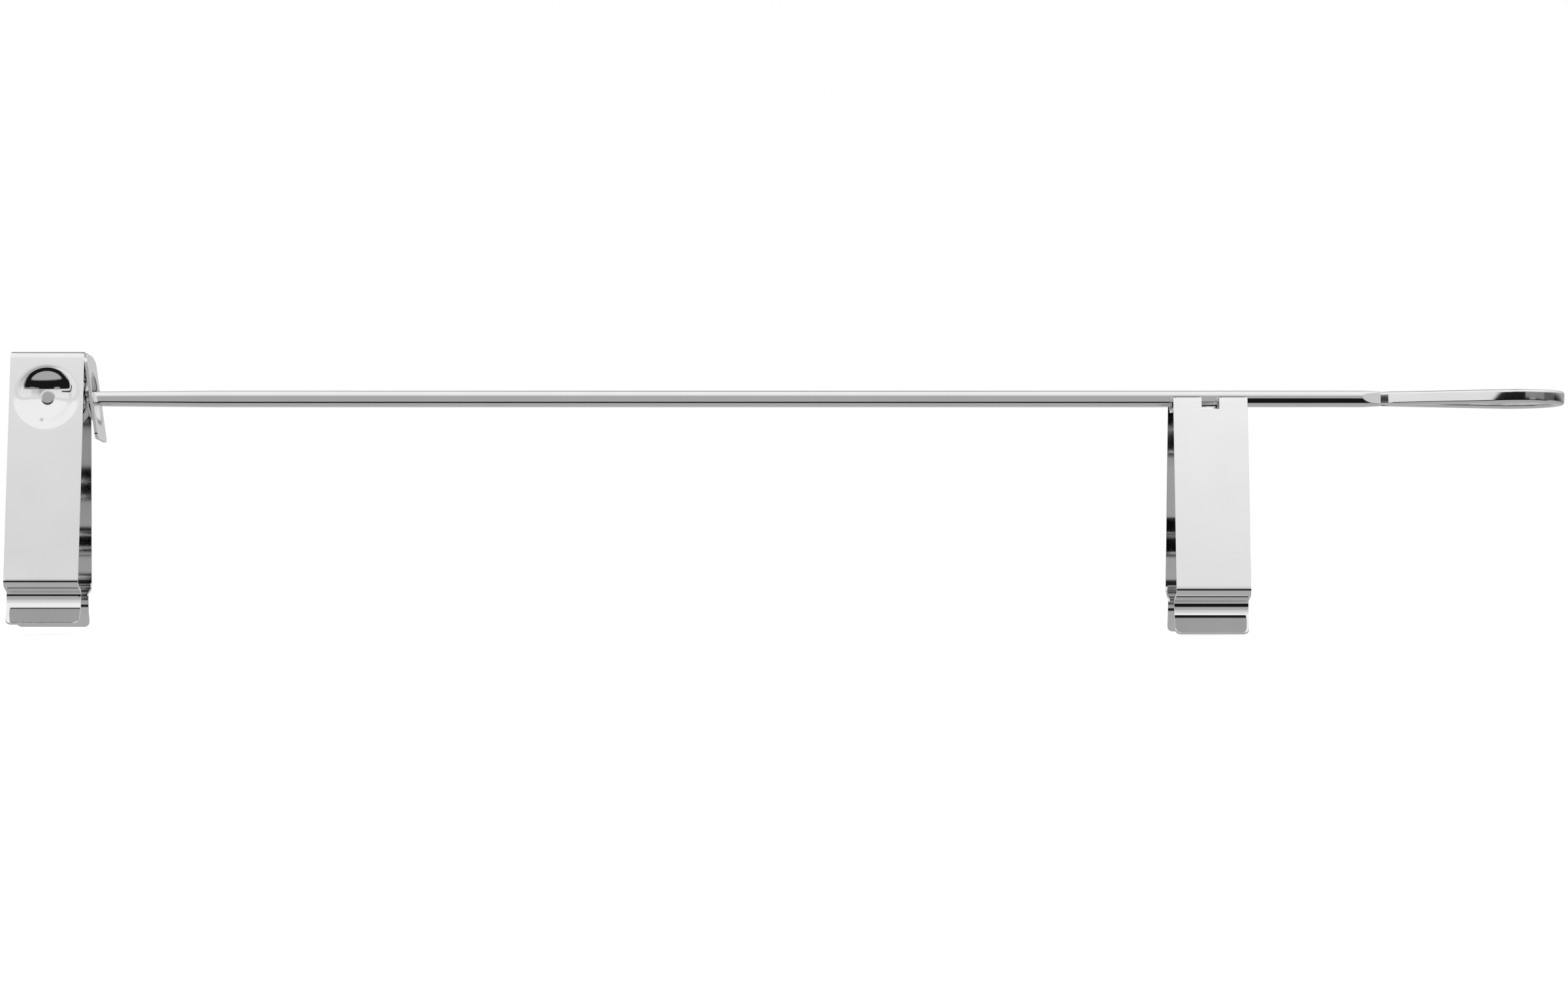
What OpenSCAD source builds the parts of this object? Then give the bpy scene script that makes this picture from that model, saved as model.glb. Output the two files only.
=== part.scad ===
// A clip-on valet rail: a flat bar with a hanging loop at one end, an end clip that swivels on the
// bar's turned tenon, and a second clip of the same strip that slides along the bar.
// Millimetres. +X runs along the bar towards the loop, -Y is the front, +Z is up.
// The lips of the sliding clip stand on z = 0.

/* [Rail] */
// Length of the whole part, from the end clip's outer edge to the tip of the loop
total_l = 520.5; // [420:0.5:700]
// Depth of the flat bar, front to back
bar_d = 7.8; // [6:0.1:7.8]
// Height of the flat bar
bar_h = 5.2; // [4:0.1:5.2]
// Radius of the bar's long edges
bar_edge_r = 1.3; // [0.5:0.1:1.8]
// Height of the bar at its tapered end
bar_end_h = 4.5; // [4.2:0.1:5.2]
// Length of the taper at the end clip
bar_taper_l = 42; // [20:1:80]
// Roll of the bar and its end clip about the bar's axis, front edge up
rail_roll = 3; // [0:0.5:4]

/* [Tenon] */
// Radius of the turned tenon that the end clip swivels on
tenon_r = 1.95; // [1.5:0.05:2.2]
// Radial running clearance around the tenon
tenon_fit = 0.05; // [0.02:0.01:0.1]
// Outer radius of the lock washer on the tenon
washer_r = 4.4; // [3.5:0.1:5]
// Thickness of the lock washer
washer_t = 0.5; // [0.4:0.1:0.8]
// Number of slots between the lock washer's teeth
washer_slots = 6; // [4:1:8]

/* [Loop] */
// Outer radius of the loop's round end
loop_r = 16.5; // [14:0.5:24]
// Thickness of the loop's band, seen from above
loop_t = 4; // [3:0.1:5]
// Height of the loop's band
loop_h = 4.5; // [3.5:0.1:5.2]
// Length of the loop, from the bar's neck to its tip
loop_l = 62; // [50:1:90]
// Depth of the neck between the bar and the loop
neck_d = 5.6; // [4:0.1:7]
// Length of the slanted faces that narrow the bar to the neck
neck_l = 6; // [3:0.5:12]
// Depth across the two arms where they leave the neck
arms_d = 9.2; // [7:0.1:11]
// Length of the slope from the neck out to the arms
arms_l = 2.7; // [1.5:0.1:5]

/* [Clip strip] */
// Width of the sheet strip that both clips are bent from
strip_w = 24.7; // [20:0.1:30]
// Thickness of the sheet
sheet_t = 1; // [0.8:0.05:1.2]
// Centreline radius of the bend at the foot of each leaf
foot_r = 2; // [1.5:0.1:3]
// Centreline radius of the tight bend at each throat
throat_r = 1.6; // [1.2:0.1:2.5]
// Centreline radius of the sweep from a throat into its lip
sweep_r = 9; // [3:0.5:10]
// Fall of the step from the leaf's foot to the throat, in degrees
step_fall = 12; // [5:1:20]
// Flare of the lips, in degrees from vertical
lip_flare = 38; // [20:1:45]
// Length of each lip's straight part
lip_l = 4.1; // [3:0.1:8]
// Radius of the lips' lower corners
lip_corner_r = 2; // [1:0.1:4]

/* [End clip] */
// Height of the top plate above the bar's axis, to its centreline
end_top = 14.75; // [13:0.05:16]
// Width of the top plate, front bend to rear bend, along its centreline
end_top_w = 17.4; // [15:0.1:22]
// Centreline radius of the bends between the top plate and the leaves
end_top_r = 1.6; // [1:0.1:3]
// Outward lean of the front leaf
end_front_lean = 9.8; // [4:0.1:14]
// Outward lean of the rear leaf
end_rear_lean = 4; // [0:0.1:10]
// Length of the front leaf's straight part
end_leaf_l = 75.85; // [60:0.05:90]
// Length of the straight part of the step at the leaf's foot
end_step_l = 5.4; // [2:0.1:9]
// Radius of the dishes in the two leaves
dish_r = 9.55; // [8:0.05:11]
// Depth of the dishes
dish_depth = 3.6; // [2:0.05:4.5]
// Radius of the flush ends of the cross pin
pin_end_r = 2.6; // [2:0.1:3.5]
// Radius of the cross pin's barrel
barrel_r = 4; // [3.5:0.1:6]

/* [Side tab] */
// Length of the tab's straight part
tab_l = 28; // [20:0.1:34]
// Depth of the tab, front to back
tab_d = 24; // [20:0.5:26]
// Depth of the tab at its bend
tab_neck_d = 15; // [10:0.5:16]
// Centreline radius of the tab's bend
tab_bend_r = 1.2; // [0.8:0.1:1.6]
// Lean of the tab, its lower end away from the clip
tab_lean = 8.3; // [4:0.1:12]
// Radius of the dish in the tab
tab_dish_r = 9.1; // [7:0.1:10]
// Depth of the dish in the tab
tab_dish_depth = 3.2; // [2:0.1:4]

/* [Sliding clip] */
// Place of the sliding clip, from the middle of the part to the middle of the clip
slide_x = 140.4; // [-100:0.1:170]
// Inner width of the channel that the bar lies in
channel_w = 8.5; // [8.4:0.1:9.5]
// Depth of the channel's floor below the bar's axis
channel_floor = 3.7; // [3:0.1:5]
// Height of the rims above the bar's axis
rim_top = 0.8; // [0.5:0.1:2.5]
// Width across the two rims, outside the sheet
rim_w = 25.8; // [24:0.1:30]
// Centreline radius of the bends in the rims and the channel
rim_r = 1.5; // [1:0.1:1.6]
// Outward lean of the front leaf
slide_front_lean = 13.9; // [8:0.1:18]
// Outward lean of the rear leaf
slide_rear_lean = 10.4; // [6:0.1:18]
// Length of the straight part of the front leaf
slide_leaf_l = 63.8; // [50:0.1:80]
// Length of the straight part of the step at the leaf's foot
slide_step_l = 8.4; // [4:0.1:12]
// Width of the notch cut across the rims
notch_w = 5.9; // [4:0.1:10]
// Depth of the notch, from the top of the rims
notch_depth = 4.4; // [3:0.1:4.5]

/* [Hidden] */
$fn = 96;

STRAIGHT = 0;
BEND = 1;
bend_chords = 12; // chords in each bend of a strip
sweep_start = 7; // where the throat's bend hands over to the lip's sweep, in degrees from vertical
tab_corner_r = 2; // radius of the tab's corners
shoulder_gap = 0.8; // between the tab's dish and the bar's shoulder
bar_cone_l = 3; // length of the cone that the bar's end is turned to
barrel_gap = 0.15; // between the cross pin's barrel and each dish
tenon_end_gap = 0.3; // beyond the tenon's end, inside the cross pin
washer_gap = 0.5; // between the lock washer and the tab's dish
eps = 0.01;
cut = 60; // longer than any cut needs to be

// The pose [u, v, heading] of a strip's end after one step of its path
function after(p, s) =
    s[0] == STRAIGHT
        ? [p[0] + s[1] * cos(p[2]), p[1] + s[1] * sin(p[2]), p[2]]
        : let (r = s[1] * sign(s[2]), h = p[2] + s[2])
          [p[0] - r * sin(p[2]) + r * sin(h), p[1] + r * cos(p[2]) - r * cos(h), h];

// The pose after the first n steps
function pose(steps, n, start) = n == 0 ? start : after(pose(steps, n - 1, start), steps[n - 1]);

// Foot, step, throat and lip: the same on every leaf, but for the lean and the step's length
function mouth_steps(lean, step_l) = [
    [BEND, foot_r, -(90 - step_fall + lean)],
    [STRAIGHT, step_l],
    [BEND, throat_r, 90 - step_fall - sweep_start],
    [BEND, sweep_r, lip_flare + sweep_start],
    [STRAIGHT, lip_l],
];

// From the middle of the end clip's top plate to a lip
function end_steps(lean, leaf_l) = concat([
    [STRAIGHT, end_top_w / 2 - end_top_r],
    [BEND, end_top_r, -(90 - lean)],
    [STRAIGHT, leaf_l],
], mouth_steps(lean, end_step_l));

// From the middle of the sliding clip's channel floor to a lip
function slide_steps(lean, leaf_l) = concat([
    [STRAIGHT, channel_w / 2 + sheet_t / 2 - rim_r],
    [BEND, rim_r, 90],
    [STRAIGHT, channel_floor + rim_top - 2 * rim_r],
    [BEND, rim_r, -90],
    [STRAIGHT, (rim_w - channel_w) / 2 - sheet_t - 2 * rim_r],
    [BEND, rim_r, -(90 - lean)],
    [STRAIGHT, leaf_l],
], mouth_steps(lean, slide_step_l));

end_start = [0, end_top, 0];
slide_start = [0, -channel_floor - sheet_t / 2, 0];

// How low a strip reaches, at the end of its lip
function lowest(steps, start) =
    let (p = pose(steps, len(steps), start)) p[1] - sheet_t / 2 * cos(p[2]);

// The rear leaves reach the same level as the front ones
end_rear_leaf_l = (lowest(end_steps(end_rear_lean, 0), end_start)
    - lowest(end_steps(end_front_lean, end_leaf_l), end_start)) / cos(end_rear_lean);
slide_rear_leaf_l = (lowest(slide_steps(slide_rear_lean, 0), slide_start)
    - lowest(slide_steps(slide_front_lean, slide_leaf_l), slide_start)) / cos(slide_rear_lean);

end_front = end_steps(end_front_lean, end_leaf_l);
end_rear = end_steps(end_rear_lean, end_rear_leaf_l);
slide_front = slide_steps(slide_front_lean, slide_leaf_l);
slide_rear = slide_steps(slide_rear_lean, slide_rear_leaf_l);

// How far each side of the sliding clip reaches out, at the foot of its leaf
function reach(steps, start, lean) =
    let (p = pose(steps, len(steps) - 5, start)) p[0] + foot_r * (1 - cos(lean)) + sheet_t / 2;
front_reach = reach(slide_front, slide_start, slide_front_lean);
rear_reach = reach(slide_rear, slide_start, slide_rear_lean);

// The part's middle is the origin, front to back as well as end to end
bar_y = (front_reach - rear_reach) / 2;
bar_z = -lowest(slide_front, slide_start);
clip_x = -total_l / 2 + strip_w / 2;
loop_tip_x = total_l / 2;
neck_x = loop_tip_x - loop_l;
loop_centre_x = loop_tip_x - loop_r;
tab_start = [strip_w / 2 - 0.6, end_top, 0];
tab_steps = [[BEND, tab_bend_r, -(90 - tab_lean)], [STRAIGHT, tab_l]];
tab_foot = pose(tab_steps, 1, tab_start);
// Where the tab's centreline crosses the bar's axis
tab_x = clip_x + tab_foot[0] + tab_foot[1] * tan(tab_lean);
// The far side of the tab's dish on the axis, and the bar's shoulder inside it
dish_back_x = tab_x - tab_dish_depth - sheet_t / 2;
shoulder_x = tab_x - tab_dish_depth + sheet_t / 2 + shoulder_gap;
bar_full_x = shoulder_x + bar_cone_l;

// Half the distance between the leaves' centrelines at the bar's axis
function leaf_u(lean) =
    let (p = pose(end_steps(lean, end_leaf_l), 2, end_start)) p[0] + p[1] * tan(lean);

// A point beside the path, to its left
function beside(p, off) = [p[0] - off * sin(p[2]), p[1] + off * cos(p[2])];

// One edge of a bent strip, each bend drawn as a run of short chords
function edge(steps, start, off) = [
    for (i = [0 : len(steps) - 1])
        let (p = pose(steps, i, start), s = steps[i], n = s[0] == STRAIGHT ? 1 : bend_chords)
            for (k = [0 : n - 1])
                beside(s[0] == STRAIGHT ? p : after(p, [BEND, s[1], s[2] * k / n]), off),
    beside(pose(steps, len(steps), start), off),
];

function reversed(list) = [for (i = [len(list) - 1 : -1 : 0]) list[i]];
function mirrored(list) = [for (p = list) [-p[0], p[1]]];

function tail(list) = [for (i = [1 : len(list) - 1]) list[i]];

// The outline of a strip that runs from the front lip over the top to the rear lip
function strip_outline(front, rear, start) = concat(
    reversed(mirrored(tail(edge(front, start, sheet_t / 2)))),
    edge(rear, start, sheet_t / 2),
    reversed(edge(rear, start, -sheet_t / 2)),
    mirrored(tail(edge(front, start, -sheet_t / 2))));

// The bent strip itself, u to the rear, v up and the width along X
module bent_strip(front, rear, start) {
    rotate([90, 0, 90]) translate([0, 0, -strip_w / 2]) linear_extrude(strip_w)
        polygon(strip_outline(front, rear, start));
}

// Turns the u-v plane so that u points to the front or the rear, v up and the width along X
module upright(side) {
    mirror([0, side < 0 ? 1 : 0, 0]) rotate([90, 0, 90]) translate([0, 0, -strip_w / 2]) children();
}

// The two lower corners of a lip, to be cut away
module lip_corners(steps, start) {
    p = pose(steps, len(steps), start);
    translate([p[0], p[1], 0]) rotate(p[2])
        for (z = [0, strip_w])
            mirror([0, 0, z > 0 ? 1 : 0]) translate([0, 0, z > 0 ? -strip_w : 0]) rotate([90, 0, 0])
                difference() {
                    translate([-lip_corner_r, -1, -2])
                        cube([lip_corner_r + 1, lip_corner_r + 1, 4]);
                    translate([-lip_corner_r, lip_corner_r, -3]) cylinder(r = lip_corner_r, h = 6);
                }
}

// The radius of the sphere that a dish is part of
function ball_r(r, depth) = (r * r + depth * depth) / (2 * depth);

// A dish of the given radius and depth, pressed along -Z from a sheet whose middle is z = 0
module dish(r, depth) {
    intersection() {
        translate([0, 0, ball_r(r, depth) - depth]) difference() {
            sphere(r = ball_r(r, depth) + sheet_t / 2);
            sphere(r = ball_r(r, depth) - sheet_t / 2);
        }
        translate([0, 0, -depth - sheet_t]) cylinder(r = r, h = depth + sheet_t * 1.5);
    }
}

// Puts something on the end clip's leaf where the bar's axis crosses it, with +Z facing outwards
module on_leaf(side, lean) {
    translate([0, side * leaf_u(lean), 0]) rotate([side < 0 ? 90 - lean : lean - 90, 0, 0])
        children();
}

// Puts something on the tab where the bar's axis crosses it, with +Z facing away from the clip
module on_tab() {
    translate([tab_x - clip_x, 0, 0]) rotate([0, 90 - tab_lean, 0]) children();
}

module in_rail_frame() {
    translate([0, bar_y, bar_z]) rotate([-rail_roll, 0, 0]) children();
}

// The tab seen along the bar: a narrow neck at its bend, and round corners
module tab_outline() {
    top = end_top - tab_bend_r;
    foot = pose(tab_steps, 2, tab_start)[1];
    d = tab_d / 2;
    translate([-tab_neck_d / 2, top - 1]) square([tab_neck_d, tab_bend_r + sheet_t + 1]);
    translate([-d, foot + tab_corner_r]) square([tab_d, top - foot - 2 * tab_corner_r]);
    translate([tab_corner_r - d, foot]) square([tab_d - 2 * tab_corner_r, top - foot]);
    for (y = [-1, 1]) for (z = [foot + tab_corner_r, top - tab_corner_r])
        translate([y * (d - tab_corner_r), z]) circle(r = tab_corner_r);
}

module tab_plate() {
    intersection() {
        translate([0, tab_d / 2, 0]) rotate([90, 0, 0]) linear_extrude(tab_d) polygon(concat(
            edge(tab_steps, tab_start, sheet_t / 2), reversed(edge(tab_steps, tab_start, -sheet_t / 2))));
        rotate([90, 0, 90]) linear_extrude(cut) tab_outline();
    }
}

module end_clip() {
    color("silver") in_rail_frame() translate([clip_x, 0, 0]) difference() {
        union() {
            difference() {
                union() {
                    bent_strip(end_front, end_rear, end_start);
                    tab_plate();
                }
                upright(-1) lip_corners(end_front, end_start);
                upright(1) lip_corners(end_rear, end_start);
                on_leaf(-1, end_front_lean) cylinder(r = dish_r - eps, h = 4, center = true);
                on_leaf(1, end_rear_lean) cylinder(r = dish_r - eps, h = 4, center = true);
                on_tab() cylinder(r = tab_dish_r - eps, h = 4, center = true);
            }
            on_leaf(-1, end_front_lean) dish(dish_r, dish_depth);
            on_leaf(1, end_rear_lean) dish(dish_r, dish_depth);
            on_tab() dish(tab_dish_r, tab_dish_depth);
        }
        // the tenon's hole in the tab, and the cross pin's holes in the leaves
        rotate([0, 90, 0]) cylinder(r = tenon_r + tenon_fit, h = cut);
        translate([0, cut / 2, 0]) rotate([90, 0, 0]) cylinder(r = pin_end_r, h = cut);
    }
}

// Where the cross pin's end lies flush in a leaf's dish, from the clip's middle
function flush_u(lean) =
    let (ball = ball_r(dish_r, dish_depth), inside = ball - sheet_t / 2, c = ball - dish_depth)
    leaf_u(lean) + c * cos(lean) - sqrt(inside * inside - pow(c * sin(lean), 2));

// Where the cross pin's barrel stops short of a leaf's dish, from the clip's middle
function barrel_u(lean) =
    let (ball = ball_r(dish_r, dish_depth))
    leaf_u(lean) + (ball - dish_depth) * cos(lean) - ball - sheet_t / 2 - barrel_gap;

// The turned pin between the two leaves' dishes, its ends peened flush
module cross_pin() {
    color("gainsboro") in_rail_frame() translate([clip_x, 0, 0]) difference() {
        union() {
            translate([0, barrel_u(end_rear_lean), 0]) rotate([90, 0, 0])
                cylinder(r = barrel_r, h = barrel_u(end_front_lean) + barrel_u(end_rear_lean));
            translate([0, flush_u(end_rear_lean), 0]) rotate([90, 0, 0])
                cylinder(r = pin_end_r, h = flush_u(end_front_lean) + flush_u(end_rear_lean));
        }
        // the blind bore that the tenon ends in
        translate([-barrel_r / 2 - tenon_end_gap, 0, 0]) rotate([0, 90, 0])
            cylinder(r = tenon_r + tenon_fit, h = cut);
    }
}

module bar_section(h) {
    for (y = [-1, 1]) for (z = [-1, 1])
        translate([y * (bar_d / 2 - bar_edge_r), z * (h / 2 - bar_edge_r)]) circle(r = bar_edge_r);
    square([bar_d, h - 2 * bar_edge_r], center = true);
    square([bar_d - 2 * bar_edge_r, h], center = true);
}

module bar() {
    color("lightgray") in_rail_frame() {
        difference() {
            intersection() {
                translate([shoulder_x, 0, 0]) rotate([90, 0, 90])
                    linear_extrude(neck_x - shoulder_x) bar_section(bar_h);
                // the end is turned to a cone
                union() {
                    translate([shoulder_x, 0, 0]) rotate([0, 90, 0])
                        cylinder(r1 = tenon_r + 0.6, r2 = bar_d * 0.62, h = bar_full_x - shoulder_x);
                    translate([bar_full_x, -cut / 2, -cut / 2]) cube([total_l, cut, cut]);
                }
            }
            // top and underside taper towards the end clip
            for (side = [0, 1]) mirror([0, 0, side])
                translate([shoulder_x + bar_taper_l, -cut / 2, bar_h / 2])
                    rotate([0, -atan((bar_h - bar_end_h) / 2 / bar_taper_l), 0])
                        translate([-cut, 0, 0]) cube([cut, cut, 4]);
            // slanted faces narrow the bar to the neck
            for (side = [0, 1]) mirror([0, side, 0])
                translate([neck_x - neck_l, bar_d / 2, -cut / 2])
                    rotate(-atan((bar_d - neck_d) / 2 / neck_l)) cube([cut, 5, cut]);
        }
        // the tenon turns in the tab and in the cross pin
        translate([clip_x - barrel_r / 2, 0, 0]) rotate([0, 90, 0])
            cylinder(r = tenon_r, h = shoulder_x - clip_x + barrel_r / 2 + 1);
    }
}

// How far an arm turns out from the bar's axis, along a line that starts half_d beside the axis
// at x and touches a circle of radius r at the loop's centre
function arm_turn(r, half_d, x) =
    let (reach_x = loop_centre_x - x)
    asin(r / sqrt(reach_x * reach_x + half_d * half_d)) - atan(half_d / reach_x);

// The loop's outline from above: a round end and two straight arms that slope in to the neck
module loop_outline() {
    turn = arm_turn(loop_r, arms_d / 2, neck_x + arms_l);
    half = [
        [neck_x, neck_d / 2],
        [neck_x + arms_l, arms_d / 2],
        [loop_centre_x - loop_r * sin(turn), loop_r * cos(turn)],
        [loop_centre_x, 0],
    ];
    translate([loop_centre_x, 0]) circle(r = loop_r);
    for (side = [0, 1]) mirror([0, side]) polygon(concat(half, [[neck_x, 0]]));
}

// The eye: a round end that runs to a point between the arms
module eye_outline() {
    turn = arm_turn(loop_r, neck_d / 2, neck_x);
    translate([loop_centre_x, 0]) circle(r = loop_r - loop_t);
    polygon([
        [loop_centre_x - (loop_r - loop_t) / sin(turn), 0],
        [loop_centre_x - (loop_r - loop_t) * sin(turn), -(loop_r - loop_t) * cos(turn)],
        [loop_centre_x - (loop_r - loop_t) * sin(turn), (loop_r - loop_t) * cos(turn)],
    ]);
}

module hanging_loop() {
    color("lightgray") in_rail_frame() translate([0, 0, -loop_h / 2]) linear_extrude(loop_h)
        difference() {
            loop_outline();
            eye_outline();
        }
}

module lock_washer() {
    color("gainsboro") in_rail_frame()
        translate([dish_back_x - washer_gap - washer_t, 0, 0]) rotate([0, 90, 0]) difference() {
            cylinder(r = washer_r, h = washer_t);
            translate([0, 0, -1]) cylinder(r = tenon_r - 0.05, h = washer_t + 2);
            for (i = [0 : washer_slots - 1]) rotate(i * 360 / washer_slots)
                translate([0, -0.35, -1]) cube([washer_r * 0.68, 0.7, washer_t + 2]);
        }
}

module sliding_clip() {
    color("silver") translate([slide_x, bar_y, bar_z]) difference() {
        bent_strip(slide_front, slide_rear, slide_start);
        upright(-1) lip_corners(slide_front, slide_start);
        upright(1) lip_corners(slide_rear, slide_start);
        translate([-notch_w / 2, -cut / 2, rim_top - notch_depth]) cube([notch_w, cut, cut]);
    }
}

bar();
hanging_loop();
lock_washer();
end_clip();
cross_pin();
sliding_clip();
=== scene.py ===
import math

import bmesh
import bpy
from mathutils import Matrix, Vector


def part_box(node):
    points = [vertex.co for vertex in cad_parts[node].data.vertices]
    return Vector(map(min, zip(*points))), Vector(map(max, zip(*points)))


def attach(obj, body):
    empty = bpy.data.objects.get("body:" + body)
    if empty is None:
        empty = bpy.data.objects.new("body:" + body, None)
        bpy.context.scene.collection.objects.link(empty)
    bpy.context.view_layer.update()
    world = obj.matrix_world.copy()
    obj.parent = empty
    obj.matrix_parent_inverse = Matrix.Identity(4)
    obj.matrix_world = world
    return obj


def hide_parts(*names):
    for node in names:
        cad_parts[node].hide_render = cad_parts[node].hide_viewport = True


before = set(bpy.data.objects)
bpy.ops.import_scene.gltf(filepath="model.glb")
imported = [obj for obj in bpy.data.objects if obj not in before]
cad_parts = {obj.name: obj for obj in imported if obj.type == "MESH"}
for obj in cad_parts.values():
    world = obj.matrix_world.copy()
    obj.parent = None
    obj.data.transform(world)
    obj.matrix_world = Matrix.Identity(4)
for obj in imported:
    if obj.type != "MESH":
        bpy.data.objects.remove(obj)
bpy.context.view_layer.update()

MM = 0.001
STRAIGHT, BEND = 0, 1

# ---------------------------------------------------------------- dimensions, in millimetres
ROLL = 3.0                      # roll of the rail and its end clip, front edge up
STRIP_W, SHEET = 24.7, 1.0
FOOT_R, THROAT_R, SWEEP_R = 2.0, 1.6, 9.0
STEP_FALL, LIP_FLARE, SWEEP_START = 12.0, 38.0, 7.0
LIP_L, LIP_CORNER = 4.1, 2.0
END_TOP, END_TOP_W, END_TOP_R = 14.75, 17.4, 1.6
END_LEAN = {-1: 9.8, 1: 4.0}
END_LEAF, END_STEP = 75.85, 5.4
DISH_R, DISH_DEPTH, DISH_RIM, PIN_R, BARREL_R = 9.55, 3.6, 5.0, 2.6, 4.0
TAB_L, TAB_D, TAB_NECK, TAB_BEND, TAB_LEAN = 28.0, 24.0, 15.0, 1.2, 8.3
TAB_DISH_R, TAB_DISH_DEPTH, TAB_CORNER = 9.1, 3.2, 2.0
CHANNEL_W, CHANNEL_FLOOR, RIM_TOP, RIM_W, RIM_R = 8.5, 3.7, 0.8, 25.8, 1.5
SLIDE_LEAN = {-1: 13.9, 1: 10.4}
SLIDE_LEAF, SLIDE_STEP = 63.8, 8.4
NOTCH_W, NOTCH_DEPTH = 5.9, 4.4
BAR_D, BAR_H, BAR_END_H, BAR_TAPER = 7.8, 5.2, 4.5, 42.0
TENON_R, HOLE_R = 1.95, 2.0
LOOP_R, LOOP_T, LOOP_H = 16.5, 4.0, 4.5
FRONT = -1                      # the front is towards -Y
NECK_D, NECK_L = 5.6, 6.0
ARMS_D, ARMS_L = 9.2, 2.7
LOOP_DRAFT = 2.6                # lean of the loop's outer wall, under vertical, round its end
ROUND_TOP, ROUND_LOW, ROUND_IN = 2.0, 1.6, 1.15   # the bar's soft edges: up, down, inwards
ROUND_LOW_END = 1.1             # the lower edges near the loop, under a sloping facet
FACET_TOP, FACET_SLOPE = -0.15, 0.19
WASHER_R, WASHER_T, WASHER_SLOTS = 4.4, 0.5, 6
SHOULDER_GAP = 0.8              # from the tab's dish to the bar's shoulder
CAM_LENS, CAM_X, CAM_AHEAD, CAM_BELOW = 122.4, -1.75, 1790, 31.7   # lens, then from the bar


def box_mm(node):
    lo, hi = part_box(node)
    return [v / MM for v in lo], [v / MM for v in hi]


bar_lo, bar_hi = box_mm("bar")
end_lo, _ = box_mm("end_clip")
slide_lo, slide_hi = box_mm("sliding_clip")
_, loop_hi = box_mm("hanging_loop")
washer_lo, washer_hi = box_mm("lock_washer")
BAR_Y = (bar_lo[1] + bar_hi[1]) / 2
BAR_Z = (bar_lo[2] + bar_hi[2]) / 2
CLIP_X = end_lo[0] + STRIP_W / 2
SLIDE_X = (slide_lo[0] + slide_hi[0]) / 2
NECK_X, TIP_X = bar_hi[0], loop_hi[0]

AXIS = Matrix.Translation((0, BAR_Y, BAR_Z))
RAIL = AXIS @ Matrix.Rotation(math.radians(-ROLL), 4, "X")


def cos(a):
    return math.cos(math.radians(a))


def sin(a):
    return math.sin(math.radians(a))


# ---------------------------------------------------------------- the bent strips' paths
def after(p, s, part=1.0):
    u, v, h = p
    if s[0] == STRAIGHT:
        return (u + s[1] * part * cos(h), v + s[1] * part * sin(h), h)
    r = math.copysign(s[1], s[2])
    h2 = h + s[2] * part
    return (u - r * sin(h) + r * sin(h2), v + r * cos(h) - r * cos(h2), h2)


def walk(steps, start, n=None):
    p = start
    for s in steps[:n]:
        p = after(p, s)
    return p


def mouth(lean, step):
    return [(BEND, FOOT_R, -(90 - STEP_FALL + lean)), (STRAIGHT, step),
            (BEND, THROAT_R, 90 - STEP_FALL - SWEEP_START),
            (BEND, SWEEP_R, LIP_FLARE + SWEEP_START), (STRAIGHT, LIP_L)]


def end_path(side, leaf):
    lean = END_LEAN[side]
    return [(STRAIGHT, END_TOP_W / 2 - END_TOP_R), (BEND, END_TOP_R, -(90 - lean)),
            (STRAIGHT, leaf)] + mouth(lean, END_STEP)


def slide_path(side, leaf):
    lean = SLIDE_LEAN[side]
    return [(STRAIGHT, CHANNEL_W / 2 + SHEET / 2 - RIM_R), (BEND, RIM_R, 90),
            (STRAIGHT, CHANNEL_FLOOR + RIM_TOP - 2 * RIM_R), (BEND, RIM_R, -90),
            (STRAIGHT, (RIM_W - CHANNEL_W) / 2 - SHEET - 2 * RIM_R),
            (BEND, RIM_R, -(90 - lean)), (STRAIGHT, leaf)] + mouth(lean, SLIDE_STEP)


def lowest(steps, start):
    p = walk(steps, start)
    return p[1] - SHEET / 2 * cos(p[2])


def rear_leaf(path, start, front_leaf, lean):
    """The rear leaf's length, so that both lips reach the same level."""
    return (lowest(path(1, 0), start) - lowest(path(-1, front_leaf), start)) / cos(lean)


END_START = (0, END_TOP, 0)
SLIDE_START = (0, -CHANNEL_FLOOR - SHEET / 2, 0)
END_PATH = {-1: end_path(-1, END_LEAF),
            1: end_path(1, rear_leaf(end_path, END_START, END_LEAF, END_LEAN[1]))}
SLIDE_PATH = {-1: slide_path(-1, SLIDE_LEAF),
              1: slide_path(1, rear_leaf(slide_path, SLIDE_START, SLIDE_LEAF, SLIDE_LEAN[1]))}


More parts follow.
